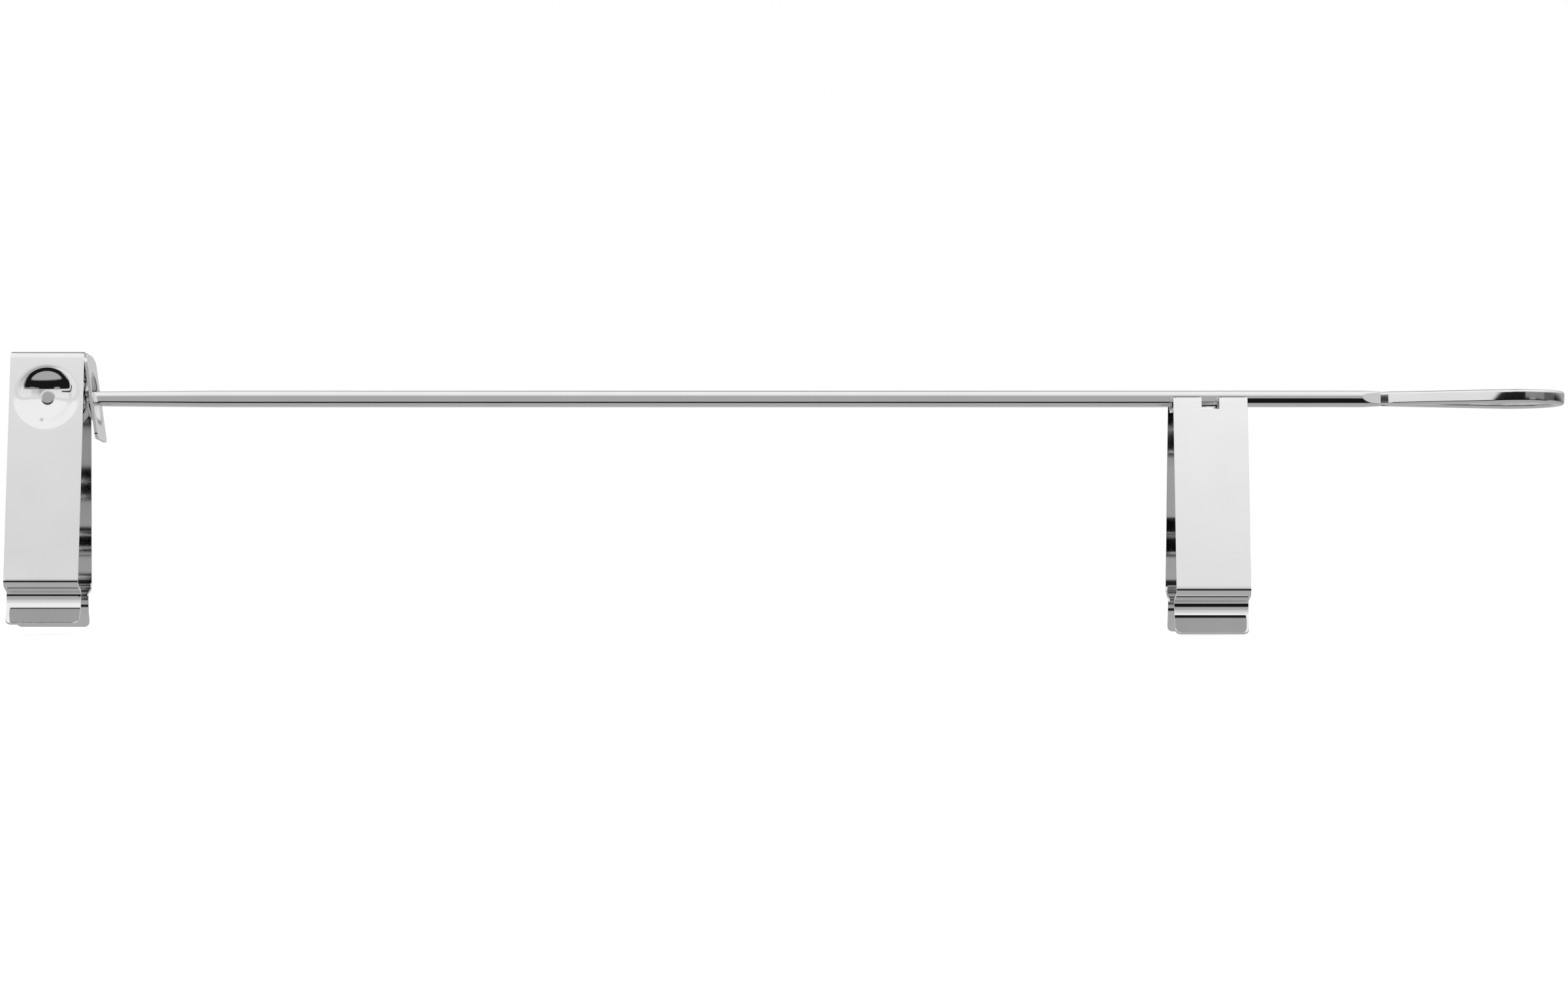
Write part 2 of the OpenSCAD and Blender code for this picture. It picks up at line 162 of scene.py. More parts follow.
def trace(steps, start, level=None, span=None):
    """Rows (u, v, distance to the strip's end) along a path. level adds a row wherever the path
    crosses that height, and span = (step, from, to, n) adds n even rows to a straight step."""
    rows, p, gone = [(start[0], start[1], 0.0)], start, 0.0
    for k, s in enumerate(steps):
        length = s[1] if s[0] == STRAIGHT else s[1] * abs(math.radians(s[2]))
        if s[0] == STRAIGHT:
            parts = {1.0}
            if span and span[0] == k:
                parts |= {(span[1] + (span[2] - span[1]) * i / span[3]) / s[1]
                          for i in range(span[3] + 1)}
            if k == len(steps) - 1:
                parts |= {1 - LIP_CORNER * (1 - math.cos(i * math.pi / 12)) / s[1]
                          for i in range(7)}
            elif s[1] > 12:
                parts |= {0.6 / s[1], 1 - 0.6 / s[1]}
        else:
            n = max(4, math.ceil(abs(s[2]) / 6))
            parts = {i / n for i in range(1, n + 1)}
        if level is not None:
            low, high = 0.0, 1.0
            at = lambda t: after(p, s, t)[1] - level
            if at(0) * at(1) < 0:
                for _ in range(50):
                    mid = (low + high) / 2
                    if at(low) * at(mid) <= 0:
                        high = mid
                    else:
                        low = mid
                parts = {t for t in parts if abs(t - low) > 0.01 or t == 1.0} | {low}
        for t in sorted(parts):
            q = after(p, s, t)
            rows.append((q[0], q[1], gone + length * t))
        gone += length
        p = after(p, s)
    total = gone
    return [(u, v, total - d) for u, v, d in rows]


def corner_half(left, half):
    """Half the strip's width at a distance from its end, where the corners are rounded."""
    if left >= LIP_CORNER:
        return half
    return half - LIP_CORNER + math.sqrt(max(0.0, LIP_CORNER ** 2 - (LIP_CORNER - left) ** 2))


# ---------------------------------------------------------------- mesh helpers
def make(name, bm, matrix, smooth=True):
    for v in bm.verts:
        v.co = (matrix @ v.co) * MM if matrix else v.co * MM
    bmesh.ops.recalc_face_normals(bm, faces=bm.faces)
    mesh = bpy.data.meshes.new(name)
    bm.to_mesh(mesh)
    bm.free()
    for poly in mesh.polygons:
        poly.use_smooth = smooth
    obj = bpy.data.objects.new(name, mesh)
    bpy.context.scene.collection.objects.link(obj)
    return obj


def thicken(obj, thickness=SHEET, edge=0.4, segments=4):
    solid = obj.modifiers.new("sheet", "SOLIDIFY")
    solid.thickness = thickness * MM
    solid.offset = 0
    solid.use_even_offset = True
    solid.use_quality_normals = True
    soften(obj, edge, segments)


def soften(obj, edge, segments=2, angle=50):
    bevel = obj.modifiers.new("edges", "BEVEL")
    bevel.width = edge * MM
    bevel.segments = segments
    bevel.limit_method = "ANGLE"
    bevel.angle_limit = math.radians(angle)
    normals = obj.modifiers.new("normals", "WEIGHTED_NORMAL")
    normals.mode = "FACE_AREA"
    normals.weight = 100
    normals.keep_sharp = True


def ball_r(r, depth):
    return (r * r + depth * depth) / (2 * depth)


def dish_rings(r, depth, hole, fillet=1.2, n=14):
    """Rings (radius, depth) of a dish, from its hole to the flat sheet, with a rounded rim."""
    ball, c = ball_r(r, depth), ball_r(r, depth) - depth
    edge = math.sqrt((ball + fillet) ** 2 - (c + fillet) ** 2)
    meet = ball * edge / (ball + fillet)
    rings = [(hole + (meet - hole) * i / n) for i in range(n + 1)]
    rings = [(q, c - math.sqrt(ball * ball - q * q)) for q in rings]
    slope = math.degrees(math.atan2(meet, math.sqrt(ball * ball - meet * meet)))
    for i in range(1, 13):
        a = slope * (1 - i / 12)
        rings.append((edge - fillet * sin(a), -fillet * (1 - cos(a))))
    return rings


def fill_patch(bm, border, place, rings):
    """Fills the space inside a border loop with a dish. border is a list of (vertex, a, b) in the
    plane's own coordinates, and place(a, b, z) gives the point."""
    border = sorted(border, key=lambda t: math.atan2(t[2], t[1]))
    outer = [t[0] for t in border]
    turns = [math.atan2(t[2], t[1]) for t in border]
    count = len(outer)
    for r, z in reversed(rings):
        inner = [bm.verts.new(place(r * math.cos(a), r * math.sin(a), z)) for a in turns]
        for i in range(count):
            j = (i + 1) % count
            bm.faces.new((outer[i], outer[j], inner[j], inner[i]))
        outer = inner


COLUMNS = [STRIP_W * (i / 24 - 0.5) for i in range(25)]


def strip_grid(bm, paths, start, columns, level=None, spans=None, skip=None):
    """The middle surface of a bent strip, from the front lip over the top to the rear lip."""
    spans = spans or {-1: None, 1: None}
    rows = [(-u, v, d, -1) for u, v, d in reversed(trace(paths[-1], start, level, spans[-1]))]
    rows += [(u, v, d, 1) for u, v, d in trace(paths[1], start, level, spans[1])[1:]]
    half = STRIP_W / 2
    grid = []
    for y, z, left, _ in rows:
        width = corner_half(left, half) / half
        grid.append([bm.verts.new((x * width, y, z)) for x in columns])
    for i in range(len(rows) - 1):
        for j in range(len(columns) - 1):
            if skip and skip(rows[i], rows[i + 1], columns[j], columns[j + 1]):
                continue
            bm.faces.new((grid[i][j], grid[i][j + 1], grid[i + 1][j + 1], grid[i + 1][j]))
    return rows, grid


def drop_loose(bm):
    loose = [v for v in bm.verts if not v.link_faces]
    bmesh.ops.delete(bm, geom=loose, context="VERTS")


# ---------------------------------------------------------------- end clip
def build_end_clip():
    bm = bmesh.new()
    half = STRIP_W / 2
    spans, centre = {}, {}
    for side in (-1, 1):
        lean = END_LEAN[side]
        head = walk(END_PATH[side], END_START, 2)
        down = head[1] / cos(lean)          # along the leaf, from its bend to the bar's axis
        spans[side] = (2, down - half, down + half, 24)
        centre[side] = (head[0] + head[1] * math.tan(math.radians(lean)), lean)

    def in_patch(y, z):
        side = -1 if y < 0 else 1
        u, lean = centre[side]
        along = z / cos(lean)
        return side, along, abs(along) < half + 1e-4 and abs(abs(y) - (u - z * math.tan(
            math.radians(lean)))) < 1e-3

    def skip(a, b, *_):
        return in_patch(a[0], a[1])[2] and in_patch(b[0], b[1])[2]

    rows, grid = strip_grid(bm, END_PATH, END_START, COLUMNS, None, spans, skip)
    for side in (-1, 1):
        u, lean = centre[side]
        inside = [i for i, r in enumerate(rows) if in_patch(r[0], r[1])[2] and r[3] == side]
        border = []
        for i in inside:
            along = rows[i][1] / cos(lean)
            picks = range(25) if i in (inside[0], inside[-1]) else (0, 24)
            border += [(grid[i][j], COLUMNS[j], along) for j in picks]

        def place(a, b, z, u=u, lean=lean, side=side):
            return Vector((a, side * (u - b * sin(lean) + z * cos(lean)), b * cos(lean)
                           + z * sin(lean)))
        fill_patch(bm, border, place, dish_rings(DISH_R, DISH_DEPTH, PIN_R - 0.4, DISH_RIM))

    # the side tab, bent down from the top plate's edge
    bend = (BEND, TAB_BEND, -(90 - TAB_LEAN))
    begin = (STRIP_W / 2 - 0.6, END_TOP, 0)
    head = after(begin, bend)
    down = head[1] / cos(TAB_LEAN)
    tab_u = head[0] + head[1] * math.tan(math.radians(TAB_LEAN))
    neck = [TAB_NECK * (i / 12 - 0.5) for i in range(13)]
    line = [bm.verts.new((begin[0] - 1.0, y, END_TOP - 0.02)) for y in neck]
    for t in [0.0] + [i / 10 for i in range(1, 11)]:
        q = after(begin, bend, t)
        grow = 0.0 if t < 0.8 else (t - 0.8) * 2.5
        new = [bm.verts.new((q[0], y * (1 + grow * 0.02), q[1] - 0.02 * (1 - t))) for y in neck]
        for j in range(12):
            bm.faces.new((line[j], line[j + 1], new[j + 1], new[j]))
        line = new
    # outline of the tab: the neck's row, then round the plate
    hd, foot, corner = TAB_D / 2, down - TAB_L, TAB_CORNER
    points = []
    for cy, cb, a0 in ((hd - corner, down - 0.3 - corner, 90), (hd - corner, foot + corner, 0),
                       (corner - hd, foot + corner, -90), (corner - hd, down - 0.3 - corner, 180)):
        for i in range(7):
            a = math.radians(a0 - 90 * i / 6 if a0 != 180 else 180 - 90 * i / 6)
            points.append((cy + corner * math.cos(a), cb + corner * math.sin(a)))
    def tab_place(a, b, z):
        return Vector((tab_u - b * sin(TAB_LEAN) + z * cos(TAB_LEAN), a,
                       b * cos(TAB_LEAN) + z * sin(TAB_LEAN)))
    def sides():
        for i in range(1, 12):
            b = foot + corner + (down - 0.3 - foot - 2 * corner) * i / 12
            yield (hd, b)
            yield (-hd, b)
        for i in range(1, 14):
            yield (corner - hd + 2 * (hd - corner) * i / 14, foot)
    points += list(sides())
    border = [(bm.verts.new(tab_place(a, b, 0)), a, b) for a, b in points]
    border += [(v, v.co.y, down) for v in line]
    fill_patch(bm, border, tab_place, dish_rings(TAB_DISH_R, TAB_DISH_DEPTH, HOLE_R, 4.5))
    drop_loose(bm)
    obj = make("end_clip_sheet", bm, RAIL @ Matrix.Translation((CLIP_X, 0, 0)))
    thicken(obj)
    return obj, tab_u


# ---------------------------------------------------------------- sliding clip
def build_sliding_clip():
    bm = bmesh.new()
    side_w = (STRIP_W - NOTCH_W) / 2
    columns = ([-STRIP_W / 2 + side_w * i / 9 for i in range(9)]
               + [NOTCH_W * (i / 6 - 0.5) for i in range(6)]
               + [NOTCH_W / 2 + side_w * i / 9 for i in range(10)])
    level = RIM_TOP - NOTCH_DEPTH

    def skip(a, b, x0, x1):
        return (min(a[1], b[1]) > level - 1e-3 and min(x0, x1) > -NOTCH_W / 2 - 1e-3
                and max(x0, x1) < NOTCH_W / 2 + 1e-3)
    strip_grid(bm, SLIDE_PATH, SLIDE_START, columns, level, None, skip)
    drop_loose(bm)
    obj = make("sliding_clip_sheet", bm, AXIS @ Matrix.Translation((SLIDE_X, 0, 0)))
    thicken(obj)
    return obj


# ---------------------------------------------------------------- bar
def smooth(t):
    t = max(0.0, min(1.0, t))
    return t * t * (3 - 2 * t)


def rounded_section(half_d, half_h, low, arc=14, flat_d=8):
    """Points (y, z) of the bar's section. Each corner is a quarter of an ellipse, and the lower
    ones may be larger than the upper ones."""
    corners = ((1, 1), (-1, 1), (-1, -1), (1, -1))

    def corner_point(q, a):
        sy, sz = corners[q % 4]
        tall = (ROUND_TOP if sz > 0 else low) * half_h / (BAR_H / 2)
        return (sy * (half_d - ROUND_IN) + ROUND_IN * cos(a), sz * (half_h - tall) + tall * sin(a))

    points = []
    for q in range(4):
        points += [corner_point(q, 90 * q + 90 * i / arc) for i in range(arc + 1)]
        (y0, z0), (y1, z1) = points[-1], corner_point(q + 1, 90 * (q + 1))
        if q % 2 == 0:
            points += [(y0 + (y1 - y0) * i / flat_d, z0) for i in range(1, flat_d)]
        else:
            crease = FACET_TOP
            stops = [(z0 + crease) / 2, crease, crease + (z1 - crease) / 3,
                     crease + (z1 - crease) * 2 / 3]
            points += [(y0, z) for z in stops]
    return points


def loft(bm, sections, cap_first=True, cap_last=True):
    rings = [[bm.verts.new(p) for p in s] for s in sections]
    for a, b in zip(rings, rings[1:]):
        n = len(a)
        for i in range(n):
            bm.faces.new((a[i], a[(i + 1) % n], b[(i + 1) % n], b[i]))
    if cap_first:
        bm.faces.new(list(reversed(rings[0])))
    if cap_last:
        bm.faces.new(rings[-1])


def build_bar(shoulder_x):
    bm = bmesh.new()
    cone_l, full_r, end_r = 3.0, BAR_D * 0.62, TENON_R + 0.6
    stops = [shoulder_x + cone_l * i / 24 for i in range(25)]
    stops += [shoulder_x + 4, shoulder_x + 14, shoulder_x + 28, shoulder_x + BAR_TAPER]
    n = 12
    first = shoulder_x + BAR_TAPER
    last = NECK_X - NECK_L - 0.6
    stops += [first + (last - first) * i / n for i in range(1, n + 1)]
    stops = sorted(set(stops) | {SLIDE_X + 3.5 + i for i in range(9)})
    stops += [NECK_X - NECK_L + NECK_L * i / 30 for i in range(31)]
    sections = []
    for x in stops:
        t = min(1.0, (x - shoulder_x) / BAR_TAPER)
        half_h = (BAR_END_H + (BAR_H - BAR_END_H) * t) / 2
        swell = smooth((x - SLIDE_X - 3.5) / 8)
        low = ROUND_LOW + (ROUND_LOW_END - ROUND_LOW) * swell
        points = rounded_section(BAR_D / 2, half_h, low)
        neck = smooth((x - NECK_X + NECK_L) / NECK_L)
        cone = end_r + (full_r - end_r) * (x - shoulder_x) / cone_l
        limit = BAR_D / 2 - max(0.0, (x - NECK_X + NECK_L) / NECK_L) * (BAR_D - NECK_D) / 2
        ring = []
        for y, z in points:
            q = math.hypot(y, z)
            if q > cone:
                y, z = y * cone / q, z * cone / q
            y -= math.copysign(max(0.0, FACET_TOP - z) * FACET_SLOPE * swell, y)
            y *= 1 - 0.14 * neck
            y = max(-limit, min(limit, y))
            ring.append((x, y, z * (1 - 0.1 * neck)))
        sections.append(ring)
    loft(bm, sections)
    # the tenon that the end clip turns on
    count = 48
    tenon = []
    tip = CLIP_X - BARREL_R / 2
    for x, r in ((tip, TENON_R - 0.35), (tip + 0.35, TENON_R), (shoulder_x - 0.25, TENON_R),
                 (shoulder_x - 0.05, TENON_R + 0.15), (shoulder_x + 0.4, TENON_R + 0.2)):
        tenon.append([(x, r * math.cos(2 * math.pi * i / count),
                       r * math.sin(2 * math.pi * i / count)) for i in range(count)])
    loft(bm, tenon)
    obj = make("bar_body", bm, RAIL)
    soften(obj, 0.12, 2, 28)
    return obj


# ---------------------------------------------------------------- hanging loop
def tangent(r, half, reach):
    """Turn of a line that starts half beside the axis and touches a circle at that reach."""
    return (math.degrees(math.asin(r / math.hypot(reach, half)))
            - math.degrees(math.atan(half / reach)))


def build_loop():
    """The loop's band, one cross-section at a time: out along an arm, round and back."""
    bm = bmesh.new()
    cx = TIP_X - LOOP_R
    half_neck, half_arms = NECK_D / 2, ARMS_D / 2
    turn = tangent(LOOP_R, half_arms, cx - NECK_X - ARMS_L)
    eye_turn = tangent(LOOP_R, half_neck, cx - NECK_X)
    inner_r = LOOP_R - LOOP_T
    inner_tip = cx - inner_r / sin(eye_turn)
    ax, ay = cx - LOOP_R * sin(turn), LOOP_R * cos(turn)
    bx, by = cx - inner_r * sin(eye_turn), inner_r * cos(eye_turn)
    slope = math.degrees(math.atan2(half_arms - half_neck, ARMS_L))
    n_slope, n_arm, n_arc = 5, 26, 64
    near = []
    for i in range(n_slope + 1):
        t = i / n_slope
        out = (NECK_X + ARMS_L * t, half_neck + (half_arms - half_neck) * t)
        near.append((out, (inner_tip, 0.0), (-sin(slope), cos(slope)), (-1.0, 0.0), 0.0))
    for i in range(n_arm):
        t = i / n_arm
        x0 = NECK_X + ARMS_L
        out = (x0 + (ax - x0) * t, half_arms + (ay - half_arms) * t)
        ins = (inner_tip + (bx - inner_tip) * t, by * t)
        near.append((out, ins, (-sin(turn), cos(turn)), (-sin(eye_turn), cos(eye_turn)),
                     smooth((t - 0.72) / 0.3)))
    arc = []
    for i in range(n_arc + 1):
        a = (90 + turn) * (1 - 2 * i / n_arc)
        out = (cx + LOOP_R * cos(a), LOOP_R * sin(a))
        ins = (cx + inner_r * cos(a), inner_r * sin(a))
        arc.append((out, ins, (cos(a), sin(a)), (cos(a), sin(a)), 1.0))
    far = [((o[0], -o[1]), (q[0], -q[1]), (n[0], -n[1]), (m[0], -m[1]), d)
           for o, q, n, m, d in reversed(near)]
    path = near + arc + far
    rows = []
    r, half_h, arcn = 1.0, LOOP_H / 2, 6
    for out, ins, n_out, n_in, draft in path:
        lean = math.tan(math.radians((LOOP_DRAFT + ROLL * n_out[1] * FRONT) * draft))
        ring = []
        for side in (1, -1):
            edges = []
            for k in range(arcn + 1):           # outer edge
                a = 90 * k / arcn
                z = side * (half_h - r + r * sin(a))
                d = r * (1 - cos(a)) + (half_h - z) * lean
                edges.append((out[0] - n_out[0] * d, out[1] - n_out[1] * d, z))
            for k in range(arcn + 1):           # inner edge
                a = 90 * (1 - k / arcn)
                z = side * (half_h - r + r * sin(a))
                d = r * (1 - cos(a))
                edges.append((ins[0] + n_in[0] * d, ins[1] + n_in[1] * d, z))
            ring += edges if side > 0 else list(reversed(edges))
        rows.append(ring)
    rings = [[bm.verts.new(p) for p in ring] for ring in rows]
    count = len(rings[0])
    for a, b in zip(rings, rings[1:]):
        for i in range(count):
            bm.faces.new((a[i], a[(i + 1) % count], b[(i + 1) % count], b[i]))
    # the neck's end, between the first and the last section
    first, last = rings[0], rings[-1]
    for i in range(count):
        j = (i + 1) % count
        if first[i].co != last[i].co:
            bm.faces.new((last[i], last[j], first[j], first[i]))
    bmesh.ops.remove_doubles(bm, verts=bm.verts, dist=1e-4)
    obj = make("loop_band", bm, RAIL)
    soften(obj, 0.15, 2, 40)
    return obj


# ---------------------------------------------------------------- turned pieces
def lathe(bm, profile, count=64):
    """Turns a profile of (along, radius) about +Y."""
    rings = []
    for s, r in profile:
        rings.append([bm.verts.new((r * math.cos(2 * math.pi * i / count), s,
                                    r * math.sin(2 * math.pi * i / count)))
                      for i in range(count)])
    for a, b in zip(rings, rings[1:]):
        for i in range(count):
            bm.faces.new((a[i], a[(i + 1) % count], b[(i + 1) % count], b[i]))
    for ring, flip in ((rings[0], False), (rings[-1], True)):
        bm.faces.new(list(reversed(ring)) if flip else ring)


def leaf_u(side):
    lean = END_LEAN[side]
    head = walk(END_PATH[side], END_START, 2)
    return head[0] + head[1] * math.tan(math.radians(lean))


def build_pin():
    ball = ball_r(DISH_R, DISH_DEPTH)
    c = ball - DISH_DEPTH
    ends = {}
    for side in (-1, 1):
        lean, inside = END_LEAN[side], ball - SHEET / 2
        flush = leaf_u(side) + c * cos(lean) - math.sqrt(inside ** 2 - (c * sin(lean)) ** 2)
        barrel = leaf_u(side) + c * cos(lean) - ball - SHEET / 2 - 0.15
        ends[side] = (flush, barrel)
    head = [(0.22, 0.8), (0.22, 1.7), (0.215, PIN_R - 0.12), (0.17, PIN_R - 0.03), (0.1, PIN_R),
            (-0.25, PIN_R), (-0.25, PIN_R - 0.5)]
    f, b = ends[-1]
    profile = [(-f - s, r) for s, r in head]
    profile += [(-b, PIN_R - 0.5), (-b, BARREL_R - 0.3), (-b + 0.3, BARREL_R)]
    f, b = ends[1]
    profile += [(b - 0.3, BARREL_R), (b, BARREL_R - 0.3), (b, PIN_R - 0.5)]
    profile += [(f + s, r) for s, r in reversed(head)]
    bm = bmesh.new()
    lathe(bm, profile)
    obj = make("cross_pin_turned", bm, RAIL @ Matrix.Translation((CLIP_X, 0, 0)))
    soften(obj, 0.08, 2, 40)
    return obj


def build_washer():
    bm = bmesh.new()
    per = 12
    count = WASHER_SLOTS * per
    radii = [TENON_R - 0.05, 2.4, WASHER_R * 0.68, 3.4, 3.9, WASHER_R]
    x0 = (washer_lo[0] + washer_hi[0]) / 2
    rings = []
    for k, r in enumerate(radii):
        ring = []
        for i in range(count):
            a = 2 * math.pi * (i + 0.5) / count
            x = x0 + 0.12 - 0.24 * (r - radii[0]) / (WASHER_R - radii[0])
            ring.append(bm.verts.new((x, -r * math.sin(a), r * math.cos(a))))
        rings.append(ring)
    for k in range(len(radii) - 1):
        for i in range(count):
            slot = k < 2 and i % per in (per - 1,)
            if slot:
                continue
            j = (i + 1) % count
            bm.faces.new((rings[k][i], rings[k][j], rings[k + 1][j], rings[k + 1][i]))
    drop_loose(bm)
    obj = make("lock_washer_star", bm, RAIL)
    thicken(obj, WASHER_T * 0.55, 0.06, 1)
    return obj


# ---------------------------------------------------------------- materials
def new_material(name):
    mat = bpy.data.materials.new(name)
    mat.use_nodes = True
    nodes, links = mat.node_tree.nodes, mat.node_tree.links
    bsdf = nodes["Principled BSDF"]
    bsdf.inputs["Metallic"].default_value = 1.0
    bsdf.inputs["IOR"].default_value = 2.5
    return mat, nodes, links, bsdf


def noise(nodes, links, coords, scale, detail=2.0, rough=0.5):
    tex = nodes.new("ShaderNodeTexNoise")
    tex.inputs["Scale"].default_value = scale
    tex.inputs["Detail"].default_value = detail
    tex.inputs["Roughness"].default_value = rough
    links.new(coords, tex.inputs["Vector"])
    return tex.outputs["Fac"]


def stretched(nodes, links, scale):
    coord = nodes.new("ShaderNodeTexCoord")
    mapping = nodes.new("ShaderNodeMapping")
    mapping.inputs["Scale"].default_value = scale
    links.new(coord.outputs["Object"], mapping.inputs["Vector"])
    return mapping.outputs["Vector"]


def ranged(nodes, links, value, low, high, start=0.0, end=1.0):
    rng = nodes.new("ShaderNodeMapRange")
    rng.inputs["From Min"].default_value = start
    rng.inputs["From Max"].default_value = end
    rng.inputs["To Min"].default_value = low
    rng.inputs["To Max"].default_value = high
    links.new(value, rng.inputs["Value"])
    return rng.outputs["Result"]


def polished(name, tint, grain, rough, brush, wave):
    """Polished steel: faint grain along one direction, soft waviness and a little wear."""
    mat, nodes, links, bsdf = new_material(name)
    fine = noise(nodes, links, stretched(nodes, links, grain), 1.0, 3.0, 0.6)
    soft = noise(nodes, links, stretched(nodes, links, (1, 1, 1)), 60.0, 2.0)
    mix = nodes.new("ShaderNodeMix")
    mix.data_type = "FLOAT"
    mix.inputs["Factor"].default_value = 0.45
    links.new(fine, mix.inputs["A"])
    links.new(soft, mix.inputs["B"])
    links.new(ranged(nodes, links, mix.outputs["Result"], rough[0], rough[1], 0.3, 0.7),
              bsdf.inputs["Roughness"])
    ramp = nodes.new("ShaderNodeValToRGB")
    ramp.color_ramp.elements[0].position = 0.3
    ramp.color_ramp.elements[0].color = (*[c * 0.965 for c in tint], 1)
    ramp.color_ramp.elements[1].position = 0.75
    ramp.color_ramp.elements[1].color = (*tint, 1)
    links.new(soft, ramp.inputs["Fac"])
    links.new(ramp.outputs["Color"], bsdf.inputs["Base Color"])
    low = nodes.new("ShaderNodeBump")
    low.inputs["Strength"].default_value = wave
    low.inputs["Distance"].default_value = 0.0001
    links.new(soft, low.inputs["Height"])
    high = nodes.new("ShaderNodeBump")
    high.inputs["Strength"].default_value = brush
    high.inputs["Distance"].default_value = 0.00002
    links.new(fine, high.inputs["Height"])
    links.new(low.outputs["Normal"], high.inputs["Normal"])
    links.new(high.outputs["Normal"], bsdf.inputs["Normal"])
    return mat


SHEET_MAT = polished("polished_spring_sheet", (0.90, 0.90, 0.905), (4000, 500, 160),
                     (0.03, 0.065), 0.012, 0.004)
BAR_MAT = polished("polished_bar", (0.89, 0.89, 0.90), (120, 3500, 3500),
                   (0.04, 0.085), 0.015, 0.004)
PIN_MAT = polished("turned_steel", (0.80, 0.80, 0.81), (3000, 500, 3000), (0.12, 0.22), 0.15, 0.02)


def finish_with(obj, mat, body, nodes):
    obj.data.materials.clear()
    obj.data.materials.append(mat)
    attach(obj, body)
    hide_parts(*nodes)


clip_obj, tab_u = build_end_clip()
finish_with(clip_obj, SHEET_MAT, "end_clip", ["end_clip"])
finish_with(build_sliding_clip(), SHEET_MAT, "sliding_clip", ["sliding_clip"])
SHOULDER_X = CLIP_X + tab_u - TAB_DISH_DEPTH + SHEET / 2 + SHOULDER_GAP
finish_with(build_bar(SHOULDER_X), BAR_MAT, "rail", ["bar"])
finish_with(build_loop(), BAR_MAT, "rail", ["hanging_loop"])
finish_with(build_pin(), PIN_MAT, "end_clip", ["cross_pin"])
finish_with(build_washer(), PIN_MAT, "rail", ["lock_washer"])


# ---------------------------------------------------------------- studio
def fill_ramp(nodes, links, value, stops, span):
    """A grey ramp over value, which runs over span. stops are (value, brightness)."""
    ramp = nodes.new("ShaderNodeValToRGB")
    links.new(ranged(nodes, links, value, 0, 1, *span), ramp.inputs["Fac"])
    elements = ramp.color_ramp.elements
    while len(elements) > 1:
        elements.remove(elements[-1])
    for k, (at, grey) in enumerate(stops):
        at = (at - span[0]) / (span[1] - span[0])
        e = elements[0] if k == 0 else elements.new(at)
        e.position = at
        e.color = (grey, grey, grey, 1)
    return ramp.outputs["Color"]


def blend(nodes, links, factor, a, b):
    mix = nodes.new("ShaderNodeMix")
    mix.data_type = "RGBA"
    links.new(factor, mix.inputs["Factor"])
    links.new(a, mix.inputs["A"])
    links.new(b, mix.inputs["B"])
    return mix.outputs["Result"]


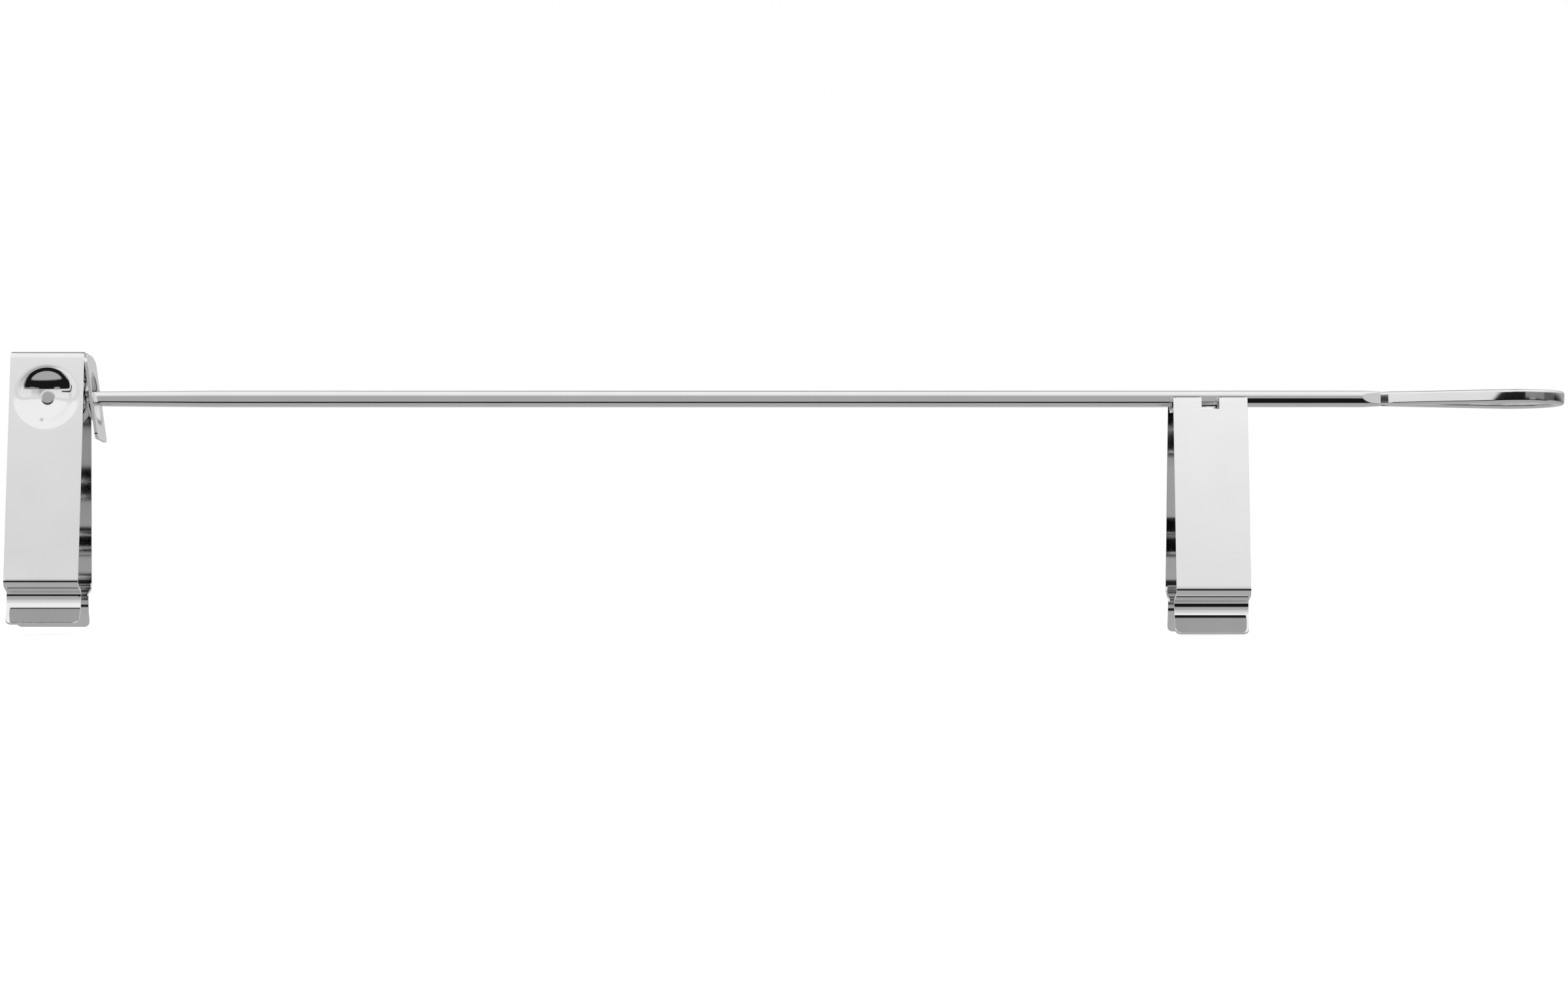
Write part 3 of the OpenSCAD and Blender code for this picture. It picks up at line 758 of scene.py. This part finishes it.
def build_world():
    world = bpy.data.worlds.new("studio")
    bpy.context.scene.world = world
    world.use_nodes = True
    nodes, links = world.node_tree.nodes, world.node_tree.links
    nodes.clear()

    def maths(kind, a, b=None):
        node = nodes.new("ShaderNodeMath")
        node.operation = kind
        links.new(a, node.inputs[0])
        if isinstance(b, float):
            node.inputs[1].default_value = b
        elif b is not None:
            links.new(b, node.inputs[1])
        return node.outputs[0]

    coord = nodes.new("ShaderNodeTexCoord")
    split = nodes.new("ShaderNodeSeparateXYZ")
    links.new(coord.outputs["Generated"], split.inputs["Vector"])
    x, y, z = (split.outputs[k] for k in "XYZ")
    deg = 180 / math.pi
    up = maths("MULTIPLY", maths("ARCSINE", z), deg)                  # elevation, degrees
    front = maths("MULTIPLY", y, -1.0)
    around = maths("MULTIPLY", maths("ARCTAN2", x, front), deg)       # azimuth from -Y to +X
    full, turn = (-90, 90), (-180, 180)
    # the studio in front of the object, beside it and behind it
    ahead = fill_ramp(nodes, links, up, [
        (-90, 0.44), (-27, 0.42), (-23, 0.010), (-1.5, 0.010), (0.5, 0.80), (18, 0.88),
        (23, 0.76), (25.5, 0.77), (29, 0.96), (84, 0.97), (90, 0.60)], full)
    beside = fill_ramp(nodes, links, up, [
        (-90, 0.44), (-24, 0.42), (-6, 0.30), (2, 0.42), (14, 0.66), (34, 0.92), (84, 0.95),
        (90, 0.60)], full)
    behind = fill_ramp(nodes, links, up, [
        (-90, 0.44), (-30, 0.42), (-10, 0.45), (0, 0.60), (6, 0.60), (12, 0.30), (84, 0.28),
        (90, 0.60)], full)
    is_ahead = fill_ramp(nodes, links, around, [
        (-82, 0.0), (-70, 1.0), (70, 1.0), (82, 0.0)], turn)
    is_behind = fill_ramp(nodes, links, around, [
        (-162, 1.0), (-150, 0.0), (150, 0.0), (162, 1.0)], turn)
    sky = blend(nodes, links, is_ahead, beside, ahead)
    sky = blend(nodes, links, is_behind, sky, behind)

    def patch(sky, brightness, up_stops, around_stops):
        """An even grey over part of the sky, as strong as both ramps make it."""
        tone = nodes.new("ShaderNodeRGB")
        tone.outputs[0].default_value = (brightness, brightness, brightness, 1)
        share = maths("MULTIPLY", fill_ramp(nodes, links, up, up_stops, full),
                      fill_ramp(nodes, links, around, around_stops, turn))
        return blend(nodes, links, share, sky, tone.outputs[0])

    # mid grey straight ahead, which the bar's flat front reflects
    sky = patch(sky, 0.43, [(-1.5, 0.0), (0.5, 1.0), (8.2, 1.0), (24, 0.0)],
                [(-16, 0.0), (-11, 1.0), (12, 1.0), (24, 0.45), (34, 0.45), (40, 0.0)])
    # a lighter stretch of the dark horizon on each side, for the leaves in slanting views
    sky = patch(sky, 0.34, [(-6.5, 0.0), (-5.5, 1.0), (-0.5, 1.0), (0.5, 0.0)],
                [(-44, 0.0), (-39, 1.0), (-29, 1.0), (-25, 0.0), (25, 0.0), (29, 1.0),
                 (39, 1.0), (44, 0.0)])
    # a narrow band just under the horizon, which the loop's round end reflects
    low = fill_ramp(nodes, links, around, [
        (-180, 0.45), (-95, 0.35), (-75, 0.010), (-44, 0.010), (-40, 0.34), (-28, 0.34),
        (-24, 0.010), (15, 0.010), (18, 0.26), (62, 0.24), (66, 0.12), (94, 0.10), (98, 0.02),
        (145, 0.02), (160, 0.45)], turn)
    in_low = fill_ramp(nodes, links, up, [
        (-4.8, 0.0), (-4.4, 1.0), (-1.5, 1.0), (-1.2, 0.0)], full)
    sky = blend(nodes, links, in_low, sky, low)
    # near black, for the slope behind the loop's neck
    sky = patch(sky, 0.02, [(3.2, 0.0), (3.8, 1.0), (6.6, 1.0), (7.2, 0.0)],
                [(-80, 0.0), (-74, 1.0), (-50, 1.0), (-46, 0.0)])
    studio = nodes.new("ShaderNodeBackground")
    links.new(sky, studio.inputs["Color"])
    studio.inputs["Strength"].default_value = 1.0
    backdrop = nodes.new("ShaderNodeBackground")
    backdrop.inputs["Color"].default_value = (1, 1, 1, 1)
    path = nodes.new("ShaderNodeLightPath")
    mix = nodes.new("ShaderNodeMixShader")
    out = nodes.new("ShaderNodeOutputWorld")
    links.new(path.outputs["Is Camera Ray"], mix.inputs["Fac"])
    links.new(studio.outputs["Background"], mix.inputs[1])
    links.new(backdrop.outputs["Background"], mix.inputs[2])
    links.new(mix.outputs["Shader"], out.inputs["Surface"])


def build_floor():
    bm = bmesh.new()
    bmesh.ops.create_grid(bm, x_segments=8, y_segments=8, size=6.0)
    mesh = bpy.data.meshes.new("floor")
    bm.to_mesh(mesh)
    bm.free()
    floor = bpy.data.objects.new("floor", mesh)
    bpy.context.scene.collection.objects.link(floor)
    floor.location = (0, 0, -0.0005)
    floor.visible_glossy = False
    mat = bpy.data.materials.new("pale_floor")
    mat.use_nodes = True
    bsdf = mat.node_tree.nodes["Principled BSDF"]
    bsdf.inputs["Base Color"].default_value = (0.9, 0.9, 0.9, 1)
    bsdf.inputs["Roughness"].default_value = 0.9
    bsdf.inputs["Emission Color"].default_value = (1, 1, 1, 1)
    bsdf.inputs["Emission Strength"].default_value = 0.45
    mesh.materials.append(mat)


def build_light():
    light = bpy.data.lights.new("soft_top", "AREA")
    light.shape = "RECTANGLE"
    light.size, light.size_y = 1.8, 1.8
    light.energy = 14
    obj = bpy.data.objects.new("soft_top", light)
    bpy.context.scene.collection.objects.link(obj)
    obj.location = (0.2, -0.6, 1.9)
    obj.rotation_euler = (math.radians(18), 0, 0)
    obj.visible_glossy = False


def build_camera():
    data = bpy.data.cameras.new("camera")
    cam = bpy.data.objects.new("camera", data)
    bpy.context.scene.collection.objects.link(cam)
    data.sensor_width = 36
    data.lens = CAM_LENS
    data.clip_start, data.clip_end = 0.01, 100
    cam.location = (CAM_X * MM, (BAR_Y - CAM_AHEAD) * MM, (BAR_Z - CAM_BELOW) * MM)
    cam.rotation_euler = (math.radians(90), 0, 0)
    bpy.context.scene.camera = cam


build_world()
build_floor()
build_light()
build_camera()
bpy.context.scene.view_settings.view_transform = "Standard"
